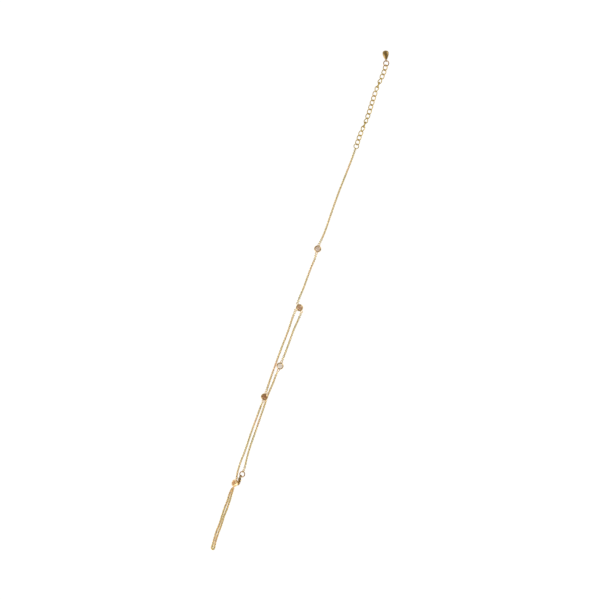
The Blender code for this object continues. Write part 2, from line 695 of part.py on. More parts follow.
def material(name, colour, metallic, roughness):
    made = bpy.data.materials.new(name)
    made.use_nodes = True
    shader = made.node_tree.nodes["Principled BSDF"]
    shader.inputs["Base Color"].default_value = (*colour, 1.0)
    shader.inputs["Metallic"].default_value = metallic
    shader.inputs["Roughness"].default_value = roughness
    return made


def build():
    for obj in list(bpy.data.objects):
        bpy.data.objects.remove(obj)
    gold = material("gold", (0.83, 0.62, 0.33), 1.0, 0.22)
    crystal = material("crystal", (0.93, 0.93, 0.95), 0.0, 0.03)

    ears = {name: setting(name, gold, crystal) for name in SETTINGS}
    end_ring_place, drop_ring_place = extender(gold)
    end_ring = jump_ring(
        "extender_end_ring", END_RING_DIAMETER, placed(*end_ring_place, lean=END_RING_LEAN), gold,
    )
    drop_ring = jump_ring(
        "drop_ring", DROP_RING_DIAMETER, placed(*drop_ring_place, lean=DROP_RING_LEAN), gold,
    )
    end_drop(gold, drop_ring)

    eye_centre = Vector((CLASP_EYE_PLACE[0] * MM, CLASP_EYE_PLACE[1] * MM, clasp_lift()))
    clasp_frame = placed(*eye_centre, heading=CLASP_HEADING, lean=-CLASP_LEAN)
    lobster_clasp(gold, clasp_frame)
    clasp_ring = jump_ring("clasp_ring", CLASP_RING_DIAMETER, clasp_ring_frame(eye_centre), gold)

    strand_between("chain_upper", gold, end_ring, ears["bezel_1"]["right"])
    strand_between("chain_mid", gold, ears["bezel_1"]["left"], ears["centre_bezel"]["right"])
    strand_between("clasp_chain_1", gold, ears["centre_bezel"]["left"], ears["bezel_2"]["right"])
    strand_between("clasp_chain_2", gold, ears["bezel_2"]["left"], clasp_ring)
    strand_between("toe_chain_1", gold, ears["centre_bezel"]["toe"], ears["bezel_3"]["right"])
    strand_between("toe_chain_2", gold, ears["bezel_3"]["left"], ears["toe_bezel"]["right"])
    toe_loop(gold, ears["toe_bezel"]["left"])


build()
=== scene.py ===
"""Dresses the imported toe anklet: real links in the fine chains, smooth settings, rings, clasp and drop,
faceted stones and their materials, on a pale floor seen from straight above. Lengths are in metres."""

import math
import random

import bmesh
import bpy
import numpy as np
from mathutils import Matrix, Vector


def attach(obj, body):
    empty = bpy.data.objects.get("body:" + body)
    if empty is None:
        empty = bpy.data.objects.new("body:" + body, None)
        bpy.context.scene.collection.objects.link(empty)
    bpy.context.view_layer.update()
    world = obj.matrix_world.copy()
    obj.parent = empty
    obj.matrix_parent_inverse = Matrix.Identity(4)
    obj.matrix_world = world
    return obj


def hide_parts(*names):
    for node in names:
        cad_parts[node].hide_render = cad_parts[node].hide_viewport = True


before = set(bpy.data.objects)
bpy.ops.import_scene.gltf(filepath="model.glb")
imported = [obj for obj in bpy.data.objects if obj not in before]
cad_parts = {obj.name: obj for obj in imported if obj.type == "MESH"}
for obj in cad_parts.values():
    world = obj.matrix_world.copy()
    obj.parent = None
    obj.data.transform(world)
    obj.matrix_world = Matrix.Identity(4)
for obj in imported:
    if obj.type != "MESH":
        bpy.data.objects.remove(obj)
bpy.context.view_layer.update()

MM = 0.001
UP = Vector((0.0, 0.0, 1.0))
BODY = "anklet"
LEVER_BODY = "lever"

# Sizes that the frame's solids share
HANG_GAP = 0.08 * MM
RING_GAP = 0.12 * MM
STONE_GAP = 0.05 * MM
STRAND_GAP = 0.35 * MM
REST_GAP = 0.02 * MM
STRAND_DIAMETER = 1.0 * MM
END_LINK_WIDTH = 1.3 * MM
LINK_COUNT = 18
LINK_LENGTH = 3.65 * MM
LINK_WIDTH = 2.6 * MM
LINK_WIRE = 0.5 * MM
LINK_TWIST = -0.4 * MM
# Degrees that a link is turned about the extender, by its number
LINK_ROLLS = {4: 142.0, 5: 90.0, 6: 38.0, 13: 142.0, 14: 90.0, 15: 38.0}
RING_WIRE = 0.45 * MM
DROP_RING_DIAMETER = 3.4 * MM
END_RING_DIAMETER = 3.2 * MM
CLASP_RING_DIAMETER = 3.4 * MM
DROP_RING_LEAN = -17.0
END_RING_LEAN = 17.0
CLASP_RING_ROLL = -20.0
CLASP_RING_RAISE = 0.2 * MM
STONE_DIAMETER = 3.0 * MM
STONE_TABLE = 1.65 * MM
STONE_CROWN = 0.42 * MM
STONE_GIRDLE = 0.08 * MM
STONE_PAVILION = 1.15 * MM
STONE_LOWER_SHARE = 0.3  # of the radius, where the pavilion's two rows of facets meet
CUP_WALL = 0.5 * MM
CUP_FLOOR = 0.2 * MM
CUP_RIM = 0.18 * MM
CUP_LIP = 0.07 * MM
CUP_LIP_TOP = 0.014 * MM  # how far the lip reaches over the girdle at its top
CUP_LIP_DEPTH = 0.053 * MM  # from the rim down to the lip's inmost line
CUP_LIP_STEP = 0.005 * MM  # from the rim down to the lip's top
CUP_EDGE = 0.28 * MM
EAR_DIAMETER = 1.6 * MM
EAR_WIRE = 0.4 * MM
EAR_SINK = 0.25 * MM
CLASP_THICKNESS = 1.3 * MM
EYE_DIAMETER = 2.0 * MM
EYE_HOLE = 1.3 * MM
EYE_THICKNESS = 0.5 * MM
EYE_SLACK = 0.15 * MM
PIN_DIAMETER = 0.5 * MM
PIN_GAP = 0.07 * MM
HUB_DIAMETER = 1.2 * MM
LEVER_THICKNESS = 0.5 * MM
LEVER_WIDTH = 0.45 * MM
LEVER_GAP = 0.1 * MM
LEVER_EDGE = 0.06 * MM
CLASP_LEAN = 55.0
CLASP_HEADING = 179.0
CLASP_EDGE = 0.2 * MM
# Middle line of the claw with its half width there, in mm
CLAW = (
    (0.8, -0.3, 0.58), (1.3, -0.18, 0.82), (1.95, 0.13, 0.86), (2.55, 0.46, 0.64), (3.15, 0.66, 0.46),
    (3.78, 0.72, 0.39), (4.35, 0.5, 0.35), (4.8, 0.0, 0.34), (4.85, -0.62, 0.33), (4.55, -1.1, 0.3),
    (4.12, -1.36, 0.25), (3.75, -1.42, 0.19),
)
PIVOT = (2.0 * MM, -0.38 * MM)
SLOT = (1.04 * MM, 2.95 * MM)
SLOT_REACH = 3.0 * MM
GATE_END = (4.08 * MM, -0.86 * MM)
NUB_END = (1.9 * MM, 1.4 * MM)
NUB_RADIUS = 0.3 * MM
NUB_THICKNESS = 0.75 * MM
FACE_STEP = 0.01 * MM
DROP_LENGTH = 4.9 * MM
DROP_WIDTH = 3.4 * MM
DROP_THICKNESS = 1.6 * MM
DROP_LOOP_WIRE = 0.38 * MM
DROP_HEADING = 23.0
# Share of the drop's length with the share of its half width there
DROP_SHAPE = (
    (0.0, 0.0), (0.02, 0.4), (0.14, 0.54), (0.27, 0.71), (0.4, 0.86), (0.52, 0.96), (0.64, 1.0),
    (0.76, 0.98), (0.87, 0.86), (0.95, 0.6), (0.99, 0.28), (1.0, 0.0),
)
# Place of each setting's back in mm, its heading and its lean in degrees
SETTINGS = {
    "bezel_1": (33.8, 1.2, 2.0, 0.0),
    "centre_bezel": (0.0, 0.0, 0.0, 0.0),
    "bezel_2": (-33.8, -0.4, -3.0, 0.0),
    "bezel_3": (-52.6, 2.05, 0.0, 0.0),
    "toe_bezel": (-102.7, 1.22, 0.0, 55.0),
}
RIDING_SETTING = "bezel_3"  # lies on the strand beside it
STONES = {
    "bezel_1": "stone_1",
    "centre_bezel": "centre_stone",
    "bezel_2": "stone_2",
    "bezel_3": "stone_3",
    "toe_bezel": "toe_stone",
}
# Where the ears are round the cup, in degrees
EAR_ANGLES = {
    "bezel_1": {"right": 0.0, "left": 180.0},
    "centre_bezel": {"right": 46.8, "toe": 141.0, "left": 225.2},
    "bezel_2": {"right": 0.0, "left": 180.0},
    "bezel_3": {"right": 0.0, "left": 180.0},
    "toe_bezel": {"right": 0.0, "left": 180.0},
}
# Places and points of the chains' routes in mm
CLASP_RING_PLACE = (-96.8, -0.38)
CLASP_EYE_PLACE = (-98.25, 0.05)
ROUTES = {
    "extender": [(94.1, -0.3), (99.4, -0.2), (104.8, -0.5), (112.0, -0.8), (119.7, -0.6), (127.0, -0.45),
                 (132.3, -0.8), (137.5, -1.2), (142.6, -0.8), (146.0, -0.2)],
    "chain_upper": [(90.0, -0.3), (79.0, 0.0), (67.0, 0.5), (54.5, 0.6), (43.9, 0.6), (39.5, 0.9)],
    "chain_mid": [(28.6, 0.9), (24.0, 1.2), (17.0, 1.4), (10.0, 1.5), (6.0, 1.8)],
    "clasp_chain_1": [(-5.5, -1.6), (-12.6, -1.0), (-19.7, -0.9), (-27.0, -0.75)],
    "clasp_chain_2": [(-38.6, -0.05), (-44.5, 0.15), (-50.0, 0.55), (-52.6, 0.7), (-55.4, 0.55),
                      (-62.1, 0.5), (-72.5, 0.45), (-83.0, 0.4), (-89.8, -0.1), (-92.6, -0.45)],
    "toe_chain_1": [(-5.6, 1.8), (-13.6, 1.7), (-24.0, 2.05), (-33.8, 2.2), (-42.0, 2.25), (-46.2, 2.2)],
    "toe_chain_2": [(-59.0, 2.25), (-63.6, 2.35), (-73.0, 2.5), (-84.0, 2.4), (-92.0, 2.65), (-96.2, 2.45)],
    "toe_loop": [(-109.8, 2.05), (-113.2, 1.9), (-117.3, 1.95), (-122.0, 2.0), (-126.6, 1.85),
                 (-131.3, 2.0), (-135.9, 1.85), (-139.0, 1.6), (-140.6, 1.45)],
}
# Half the distance between the toe loop's strands at each point of its route, in mm
TOE_LOOP_SPREAD = (0.62, 0.6, 0.72, 0.58, 0.6, 0.66, 0.57, 0.6, 0.6)
TOE_LOOP_FAN = 21.0
TOE_LOOP_SHIFT = 0.13 * MM
TOE_LOOP_SLACK = 0.11 * MM

# Finer than the frame's solids
FINE_LENGTH = 1.5 * MM
FINE_WIDTH = 1.45 * MM
FINE_LINK_WIRE = 0.36 * MM
FINE_PITCH = FINE_LENGTH - 2.0 * FINE_LINK_WIRE  # of a taut row of fine links
FINE_STEPS = 18
FINE_SIDES = 8
FINE_ROLL = 45.0
FINE_ROLL_SLACK = 5.0
EASE_LINKS = 6.0  # links over which a row turns from its ear's direction to how it lies
STOUT_WIRE = 0.55 * MM  # of the drop's and the clasp's ring as they look
DROP_LOOP_BREADTH = 1.8  # of the drop's loop, in its wire's thickness
WIRE_STEPS = 56
WIRE_SIDES = 14
CUP_STEPS = 96
EAR_STEPS = 40
DROP_STEPS = 64
DISC_STEPS = 48
QUARTER_STEPS = 6
SPAN_STEPS = 24
REST_ROUNDS = 4  # of lowering the links, each of which turns with its neighbours
DROP_SPAN_STEPS = 4
CLAW_SPAN_STEPS = 6
CLAW_SIDES = 20
CLAW_SQUARENESS = 3.2  # of the claw's section: 2 is an ellipse, and more is squarer
EDGE_STEPS = 3
STONE_SIDES = 8
MERGE_DISTANCE = 1e-7
FLAT_ANGLE = 0.8  # in degrees, between faces that are one facet
SMOOTH_ANGLE = 40.0  # in degrees, least between faces that meet in a sharp edge
CUP_SMOOTH_ANGLE = 50.0
DROP_SMOOTH_ANGLE = 60.0
FACET_ANGLE = 0.1

# View
VIEW_WIDTH = 330.0 * MM  # across the whole frame, at the floor
VIEW_CENTRE = (4.09 * MM, 1.13 * MM)
VIEW_UP = Vector((0.9443, 0.3290, 0.0)).normalized()
VIEW_HEIGHT = 1.4
SENSOR = 36.0
LEFT_SKY = 1.35  # brightness of the surroundings on the view's left and right
RIGHT_SKY = 0.55
SKY_SIDE = 0.8  # how far to a side, from straight above, the surroundings still change
FLOOR_HALF = 3.0
FLOOR_DROP = 0.02 * MM  # below the anklet, so that no faces share a plane
NEAR_CLIP = 0.01
FAR_CLIP = 20.0
# Brightness of the surroundings by how high they are, from the horizon to straight above
SKY = (
    (0.0, (0.6, 0.6, 0.6)), (0.55, (0.5, 0.5, 0.5)), (0.85, (0.3, 0.29, 0.27)), (1.0, (0.24, 0.22, 0.19)),
)
# Place and size in metres, and power in watts
LIGHTS = {
    "left_softbox": ((-0.9, 0.7, 1.0), (0.9, 0.9), 7.5),
    "right_softbox": ((0.8, -0.8, 0.9), (0.9, 0.9), 4.2),
    "low_card": ((-0.16, -0.3, 0.11), (0.4, 0.08), 0.25),
}

random.seed(7)


# Meshes

def finish_mesh(bm, name):
    bmesh.ops.recalc_face_normals(bm, faces=bm.faces)
    mesh = bpy.data.meshes.new(name)
    bm.to_mesh(mesh)
    bm.free()
    return mesh


def add_object(name, mesh, smooth_angle=SMOOTH_ANGLE):
    obj = bpy.data.objects.new(name, mesh)
    bpy.context.scene.collection.objects.link(obj)
    mesh.shade_smooth()
    mesh.set_sharp_from_angle(angle=math.radians(smooth_angle))
    return obj


def oval(length, width, steps, twist=0.0):
    """Points of a wire's centre line round an oval, its corners alternately raised and lowered by twist."""
    angles = np.linspace(0.0, 2.0 * math.pi, steps, endpoint=False)
    return np.column_stack((
        length / 2.0 * np.cos(angles), width / 2.0 * np.sin(angles), twist * np.sin(2.0 * angles),
    ))


def wire_arrays(points, wire, sides):
    """Vertices and quads of a round wire along a closed line of points in the XY plane or near it."""
    ahead = np.roll(points, -1, axis=0) - np.roll(points, 1, axis=0)
    tangent = ahead / np.linalg.norm(ahead, axis=1, keepdims=True)
    across = np.cross(np.array((0.0, 0.0, 1.0)), tangent)
    across /= np.linalg.norm(across, axis=1, keepdims=True)
    over = np.cross(tangent, across)
    turns = np.linspace(0.0, 2.0 * math.pi, sides, endpoint=False)
    rings = points[:, None, :] + (wire / 2.0) * (
        across[:, None, :] * np.cos(turns)[None, :, None] + over[:, None, :] * np.sin(turns)[None, :, None]
    )
    count = len(points)
    i = np.arange(count)[:, None]
    k = np.arange(sides)[None, :]
    following = (i + 1) % count
    beside = (k + 1) % sides
    quads = np.stack((
        i * sides + k, i * sides + beside, following * sides + beside, following * sides + k,
    ), axis=-1)
    return rings.reshape(-1, 3), quads.reshape(-1, 4)


def mesh_from_arrays(name, vertices, quads):
    mesh = bpy.data.meshes.new(name)
    mesh.from_pydata(vertices.tolist(), [], quads.tolist())
    mesh.validate()
    return mesh


def wire_mesh(name, points, wire):
    vertices, quads = wire_arrays(points, wire, WIRE_SIDES)
    return mesh_from_arrays(name, vertices, quads)


def ring_mesh(name, outer_diameter, wire, steps=WIRE_STEPS):
    centre_line = outer_diameter - wire
    return wire_mesh(name, oval(centre_line, centre_line, steps), wire)


def turned(name, profile, steps):
    """A solid of revolution about Z from (radius, height) points that start and end on the axis."""
    bm = bmesh.new()
    verts = [bm.verts.new((radius, 0.0, height)) for radius, height in profile]
    edges = [bm.edges.new(pair) for pair in zip(verts, verts[1:])]
    bmesh.ops.spin(
        bm, geom=verts + edges, cent=(0.0, 0.0, 0.0), axis=UP, steps=steps, angle=2.0 * math.pi,
        use_merge=True,
    )
    bmesh.ops.remove_doubles(bm, verts=bm.verts, dist=MERGE_DISTANCE)
    return finish_mesh(bm, name)


def plate(name, outline, thickness, edge=0.0):
    """A plate of the given outline in the XY plane, centred on Z = 0, with its edges rounded."""
    bm = bmesh.new()
    verts = [bm.verts.new((u, v, -thickness / 2.0)) for u, v in outline]
    face = bm.faces.new(verts)
    raised = bmesh.ops.extrude_face_region(bm, geom=[face])["geom"]
    top = [item for item in raised if isinstance(item, bmesh.types.BMVert)]
    bmesh.ops.translate(bm, verts=top, vec=(0.0, 0.0, thickness))
    if edge:
        rims = [e for e in bm.edges if abs(e.verts[0].co.z - e.verts[1].co.z) < thickness / 2.0]
        bmesh.ops.bevel(bm, geom=rims, offset=edge, segments=EDGE_STEPS, affect="EDGES", profile=0.5)
    return finish_mesh(bm, name)


def disc_outline(centre, radius):
    angles = [2.0 * math.pi * i / DISC_STEPS for i in range(DISC_STEPS)]
    return [(centre[0] + radius * math.cos(a), centre[1] + radius * math.sin(a)) for a in angles]


def bar_outline(start, end, width):
    way = (Vector(end) - Vector(start)).normalized()
    side = Vector((-way.y, way.x)) * (width / 2.0)
    corners = (Vector(start) - side, Vector(end) - side, Vector(end) + side, Vector(start) + side)
    return [tuple(corner) for corner in corners]


def combined(name, base, steps):
    """One mesh from a base mesh and (mesh, matrix, operation) steps, all in the base's frame."""
    obj = bpy.data.objects.new(name, base)
    bpy.context.scene.collection.objects.link(obj)
    helpers = []
    for mesh, matrix, operation in steps:
        other = bpy.data.objects.new(f"{name}_helper", mesh)
        bpy.context.scene.collection.objects.link(other)
        other.matrix_world = matrix
        helpers.append(other)
        modifier = obj.modifiers.new("combine", "BOOLEAN")
        modifier.operation = operation
        modifier.solver = "EXACT"
        modifier.object = other
    graph = bpy.context.evaluated_depsgraph_get()
    mesh = bpy.data.meshes.new_from_object(obj.evaluated_get(graph))
    for used in helpers + [obj]:
        bpy.data.objects.remove(used)
    mesh.name = name
    return mesh


# Curves and places

def smooth_curve(points, per_span=SPAN_STEPS, start_way=None, end_way=None):
    """Many points along a smooth curve through the given points, however unevenly they are spaced."""
    points = [Vector(p) for p in points]
    spans = [(b - a).length for a, b in zip(points, points[1:])]
    slopes = [(b - a) / span for a, b, span in zip(points, points[1:], spans)]
    tangents = [start_way or slopes[0]]
    for i in range(1, len(slopes)):
        share = spans[i - 1] / (spans[i - 1] + spans[i])
        tangents.append(slopes[i - 1].lerp(slopes[i], share))
    tangents.append(end_way or slopes[-1])
    curve = []
    for i, span in enumerate(spans):
        for k in range(per_span):
            t = k / per_span
            curve.append(
                points[i] * (2.0 * t ** 3 - 3.0 * t ** 2 + 1.0)
                + tangents[i] * (span * (t ** 3 - 2.0 * t ** 2 + t))
                + points[i + 1] * (3.0 * t ** 2 - 2.0 * t ** 3)
                + tangents[i + 1] * (span * (t ** 3 - t ** 2))
            )
    curve.append(points[-1])
    return curve


def measured(curve):
    steps = [0.0] + [(b - a).length for a, b in zip(curve, curve[1:])]
    return np.cumsum(steps)


def at_distances(curve, distances):
    along = measured(curve)
    columns = [np.interp(distances, along, [p[axis] for p in curve]) for axis in range(3)]
    return [Vector(p) for p in zip(*columns)]


def on_surface(points, height):
    return [Vector((x * MM, y * MM, height)) for x, y in points]


def placed(x, y, z, heading=0.0, lean=0.0):
    turn = Matrix.Rotation(math.radians(heading), 4, "Z") @ Matrix.Rotation(math.radians(-lean), 4, "X")
    return Matrix.Translation((x, y, z)) @ turn


class Eye:
    """A round eye that a link hangs in: its centre, the axis of its hole and its size."""

    def __init__(self, centre, axis, outer_diameter, wire):
        self.centre = centre
        self.axis = axis
        self.radius = (outer_diameter - wire) / 2.0
        self.wire = wire

    def towards(self, point):
        way = point - self.centre
        return (way - self.axis * way.dot(self.axis)).normalized()


# Materials

# Noise scales are in features a metre, and relief is in metres
NOISE_LOW = 0.3  # the noise's usual range
NOISE_HIGH = 0.7
GOLD_CLOUD = 260.0
GOLD_GRAIN = 9000.0
GOLD_WEAR = 0.06
GOLD_RELIEF = 0.004 * MM
STONE_CLOUD = 700.0
STONE_POLISH = 2500.0
STONE_ROUGHNESS = (0.015, 0.045)


def shader_of(name):
    made = bpy.data.materials.new(name)
    made.use_nodes = True
    return made, made.node_tree, made.node_tree.nodes["Principled BSDF"]


def noise(tree, scale, detail=3.0, roughness=0.5):
    coords = tree.nodes.new("ShaderNodeTexCoord")
    node = tree.nodes.new("ShaderNodeTexNoise")
    node.inputs["Scale"].default_value = scale
    node.inputs["Detail"].default_value = detail
    node.inputs["Roughness"].default_value = roughness
    tree.links.new(coords.outputs["Object"], node.inputs["Vector"])
    return node.outputs["Fac"]


def ramp(tree, source, stops):
    node = tree.nodes.new("ShaderNodeValToRGB")
    node.color_ramp.elements[0].position = stops[0][0]
    node.color_ramp.elements[0].color = (*stops[0][1], 1.0)
    node.color_ramp.elements[1].position = stops[-1][0]
    node.color_ramp.elements[1].color = (*stops[-1][1], 1.0)
    for position, colour in stops[1:-1]:
        element = node.color_ramp.elements.new(position)
        element.color = (*colour, 1.0)
    tree.links.new(source, node.inputs["Fac"])
    return node.outputs["Color"]


def spread(tree, source, low, high):
    node = tree.nodes.new("ShaderNodeMapRange")
    node.inputs["From Min"].default_value = NOISE_LOW
    node.inputs["From Max"].default_value = NOISE_HIGH
    node.inputs["To Min"].default_value = low
    node.inputs["To Max"].default_value = high
    tree.links.new(source, node.inputs["Value"])
    return node.outputs["Result"]


def gold_material(name, colours, roughness, cloud=GOLD_CLOUD):
    """Plated gold: slow changes of tone, uneven polish and fine wear marks."""
    made, tree, shader = shader_of(name)
    shader.inputs["Metallic"].default_value = 1.0
    stops = ((0.32, colours[0]), (0.52, colours[1]), (0.7, colours[2]))
    tone = ramp(tree, noise(tree, cloud, 4.0, 0.6), stops)
    tree.links.new(tone, shader.inputs["Base Color"])
    tree.links.new(spread(tree, noise(tree, cloud * 4.0, 5.0, 0.6), *roughness), shader.inputs["Roughness"])
    relief = tree.nodes.new("ShaderNodeBump")
    relief.inputs["Strength"].default_value = GOLD_WEAR
    relief.inputs["Distance"].default_value = GOLD_RELIEF
    tree.links.new(noise(tree, GOLD_GRAIN, 5.0, 0.7), relief.inputs["Height"])
    tree.links.new(relief.outputs["Normal"], shader.inputs["Normal"])
    return made


def stone_material(name, painted_colours, ior, clear):
    """A cut stone with faint clouds between two colours of painted reflection and shade, as clear as its
    share of clear.
    """
    made, tree, shader = shader_of(name)
    shader.inputs["Transmission Weight"].default_value = clear
    shader.inputs["IOR"].default_value = ior
    tone = ramp(tree, noise(tree, STONE_CLOUD, 3.0), ((0.35, painted_colours[0]), (0.65, painted_colours[1])))
    tree.links.new(tone, shader.inputs["Base Color"])
    polish = spread(tree, noise(tree, STONE_POLISH, 4.0), *STONE_ROUGHNESS)
    tree.links.new(polish, shader.inputs["Roughness"])
    return made


GOLD = gold_material(
    "polished_gold", ((0.88, 0.66, 0.33), (0.95, 0.7, 0.36), (0.98, 0.71, 0.42)), (0.18, 0.32),
)
# A darker copy of the gold: painted shade on the extender's links and its end ring.
SHADED_LINK_GOLD = gold_material(
    "shaded_link_gold", ((0.54, 0.41, 0.09), (0.64, 0.45, 0.1), (0.7, 0.47, 0.14)), (0.16, 0.3), cloud=150.0,
)
# A darker, redder copy of the gold: painted shade on the drop's and the clasp's rings.
SHADED_RING_GOLD = gold_material(
    "shaded_ring_gold", ((0.44, 0.24, 0.07), (0.52, 0.28, 0.08), (0.6, 0.34, 0.11)), (0.22, 0.36),
)
CHAIN_GOLD = gold_material(
    "chain_gold", ((0.7, 0.62, 0.31), (0.83, 0.66, 0.33), (0.92, 0.65, 0.42)), (0.22, 0.36), cloud=70.0,
)
# A darker copy of the chain gold: painted shade on the toe loop.
SHADED_LOOP_GOLD = gold_material(
    "shaded_loop_gold", ((0.66, 0.54, 0.2), (0.77, 0.59, 0.22), (0.86, 0.58, 0.28)), (0.22, 0.36), cloud=70.0,
)
SHADED_GOLD = gold_material(
    "shaded_gold", ((0.36, 0.28, 0.11), (0.45, 0.3, 0.11), (0.52, 0.31, 0.11)), (0.3, 0.42),
)
# Stone 1: pink painted reflection of its gold cup.
ROSE_REFLECTION_STONE = stone_material("rose_reflection_stone", ((0.88, 0.6, 0.42), (1.0, 0.82, 0.66)), 1.6, clear=0.22)
# Stone 2: nearly opaque pale colour, a painted highlight of a lamp warmed by painted gold reflection.
PAINTED_HIGHLIGHT_STONE = stone_material("painted_highlight_stone", ((1.0, 0.84, 0.68), (1.0, 0.9, 0.79)), 1.6, clear=0.04)
# Centre stone: painted reflection of its gold cup.
GOLD_REFLECTION_STONE = stone_material("gold_reflection_stone", ((0.82, 0.48, 0.26), (0.97, 0.65, 0.4)), 1.5, clear=0.32)
# Stone 3: dark brown, painted shade with painted reflection of its gold cup.
SHADED_REFLECTION_STONE = stone_material("shaded_reflection_stone", ((0.42, 0.17, 0.06), (0.9, 0.48, 0.2)), 1.55, clear=0.35)
# Toe stone: orange painted reflection of its gold cup.
HONEY_REFLECTION_STONE = stone_material("honey_reflection_stone", ((0.88, 0.42, 0.12), (0.97, 0.56, 0.2)), 1.5, clear=0.3)
STONE_MATERIALS = {
    "stone_1": ROSE_REFLECTION_STONE,
    "centre_stone": GOLD_REFLECTION_STONE,
    "stone_2": PAINTED_HIGHLIGHT_STONE,
    "stone_3": SHADED_REFLECTION_STONE,
    "toe_stone": HONEY_REFLECTION_STONE,
}


def dress(obj, material, slot, body, *nodes):
    """Gives a piece its material, rides it on its body and lets it stand for its CAD nodes. Its slot is not
    used.
    """
    obj.data = obj.data.copy()
    obj.data.transform(obj.matrix_world)
    obj.matrix_world = Matrix.Identity(4)
    obj.data.materials.clear()
    obj.data.materials.append(material)
    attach(obj, body)
    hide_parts(*nodes)


# Settings and stones

CUP_RADIUS = STONE_DIAMETER / 2.0 + CUP_WALL
GIRDLE_HEIGHT = CUP_FLOOR + STONE_GAP + STONE_PAVILION
EAR_HEIGHT = END_LINK_WIDTH / 2.0
EAR_REACH = CUP_RADIUS + EAR_DIAMETER / 2.0 - EAR_SINK


def quarter(centre, radius, start, end):
    """Points of an arc round a (radius, height) centre, angles in degrees."""
    angles = np.radians(np.linspace(start, end, QUARTER_STEPS))
    return [(centre[0] + radius * math.cos(a), centre[1] + radius * math.sin(a)) for a in angles]


def cup_profile():
    girdle = STONE_DIAMETER / 2.0
    girdle_top = GIRDLE_HEIGHT + STONE_GIRDLE
    rim = girdle_top + CUP_RIM
    middle = CUP_RADIUS - CUP_EDGE
    back_edge = quarter((middle, CUP_EDGE), CUP_EDGE, -90.0, 0.0)
    rim_edge = quarter((middle, rim - CUP_EDGE), CUP_EDGE, 0.0, 90.0)
    inside = [
        (girdle - CUP_LIP_TOP, rim - CUP_LIP_STEP),
        (girdle - CUP_LIP, rim - CUP_LIP_DEPTH),
        (girdle + STONE_GAP, girdle_top + STONE_GAP),
        (girdle + STONE_GAP, GIRDLE_HEIGHT - STONE_GAP),
        (STONE_GAP * 2.0, CUP_FLOOR),
        (0.0, CUP_FLOOR),
    ]
    return [(0.0, 0.0)] + back_edge + rim_edge + inside


def setting_lift(name, lean):
    """How high the back's centre is when the cup lies on a strand, leans on its edge or lies flat."""
    if name == RIDING_SETTING:
        return STRAND_DIAMETER + REST_GAP
    if not lean:
        return 0.0
    rim = GIRDLE_HEIGHT + STONE_GIRDLE + CUP_RIM
    corner = CUP_EDGE * (1.0 - math.cos(math.radians(45.0)))
    outside = (
        (CUP_RADIUS - CUP_EDGE, 0.0), (CUP_RADIUS - corner, corner), (CUP_RADIUS, CUP_EDGE),
        (CUP_RADIUS, rim - CUP_EDGE), (CUP_RADIUS - corner, rim - corner), (CUP_RADIUS - CUP_EDGE, rim),
    )
    angle = math.radians(lean)
    return max(radius * math.sin(angle) - height * math.cos(angle) for radius, height in outside)


def stone_mesh():
    """A round brilliant: table, star, kite and girdle facets above, girdle and main facets below."""
    radius = STONE_DIAMETER / 2.0
    table = STONE_TABLE / 2.0
    half = math.pi / STONE_SIDES
    slope = STONE_CROWN / (radius - table)
    crown_side = (radius + table) / 2.0
    lower_depth = 1.0 - STONE_LOWER_SHARE * math.cos(half)
    rings = [
        (STONE_SIDES, 0.0, table, STONE_GIRDLE + STONE_CROWN),
        (STONE_SIDES, half, crown_side, STONE_GIRDLE + slope * (radius - crown_side * math.cos(half))),
        (2 * STONE_SIDES, 0.0, radius, STONE_GIRDLE),
        (2 * STONE_SIDES, 0.0, radius, 0.0),
        (STONE_SIDES, half, radius * STONE_LOWER_SHARE, -STONE_PAVILION * lower_depth),
    ]
    bm = bmesh.new()
    bm.verts.new((0.0, 0.0, -STONE_PAVILION))
    for count, start, reach, height in rings:
        for i in range(count):
            angle = start + 2.0 * math.pi * i / count
            bm.verts.new((reach * math.cos(angle), reach * math.sin(angle), height))
    bmesh.ops.convex_hull(bm, input=bm.verts)
    bmesh.ops.dissolve_limit(bm, angle_limit=math.radians(FLAT_ANGLE), verts=bm.verts, edges=bm.edges)
    return finish_mesh(bm, "cut_stone")


def make_settings():
    """The cups with their ears, and the stones. Returns each setting's ears by their names."""
    ears = {}
    for name, (x, y, heading, lean) in SETTINGS.items():
        place = placed(x * MM, y * MM, setting_lift(name, lean), heading, lean)
        steps = []
        ears[name] = {}
        for ear_name, direction in EAR_ANGLES[name].items():
            angle = math.radians(direction)
            spot = Vector((EAR_REACH * math.cos(angle), EAR_REACH * math.sin(angle), EAR_HEIGHT))
            ear = ring_mesh(f"{name}_ear", EAR_DIAMETER, EAR_WIRE, EAR_STEPS)
            steps.append((ear, Matrix.Translation(spot), "UNION"))
            axis = (place.to_3x3() @ UP).normalized()
            ears[name][ear_name] = Eye(place @ spot, axis, EAR_DIAMETER, EAR_WIRE)
        mesh = combined(f"{name}_cup", turned(name, cup_profile(), CUP_STEPS), steps)
        cup = add_object(f"{name}_cup", mesh, CUP_SMOOTH_ANGLE)
        cup.matrix_world = place
        dress(cup, GOLD, "gold", BODY, name)
        stone = add_object(f"{STONES[name]}_cut", stone_mesh(), FACET_ANGLE)
        stone.matrix_world = place @ Matrix.Translation((0.0, 0.0, GIRDLE_HEIGHT))
        dress(stone, STONE_MATERIALS[STONES[name]], "crystal", BODY, STONES[name])
    return ears


# Fine chains

def roll_of(direction, tangent):
    """Angle of a direction about a tangent, from the level side of the tangent towards up, in degrees."""
    side = UP.cross(tangent).normalized()
    over = tangent.cross(side)
    return math.degrees(math.atan2(direction.dot(over), direction.dot(side)))


def nearest_turn(angle, wanted, period):
    """The angle's equal, by whole periods, that is nearest to the wanted one."""
    return angle + period * round((wanted - angle) / period)


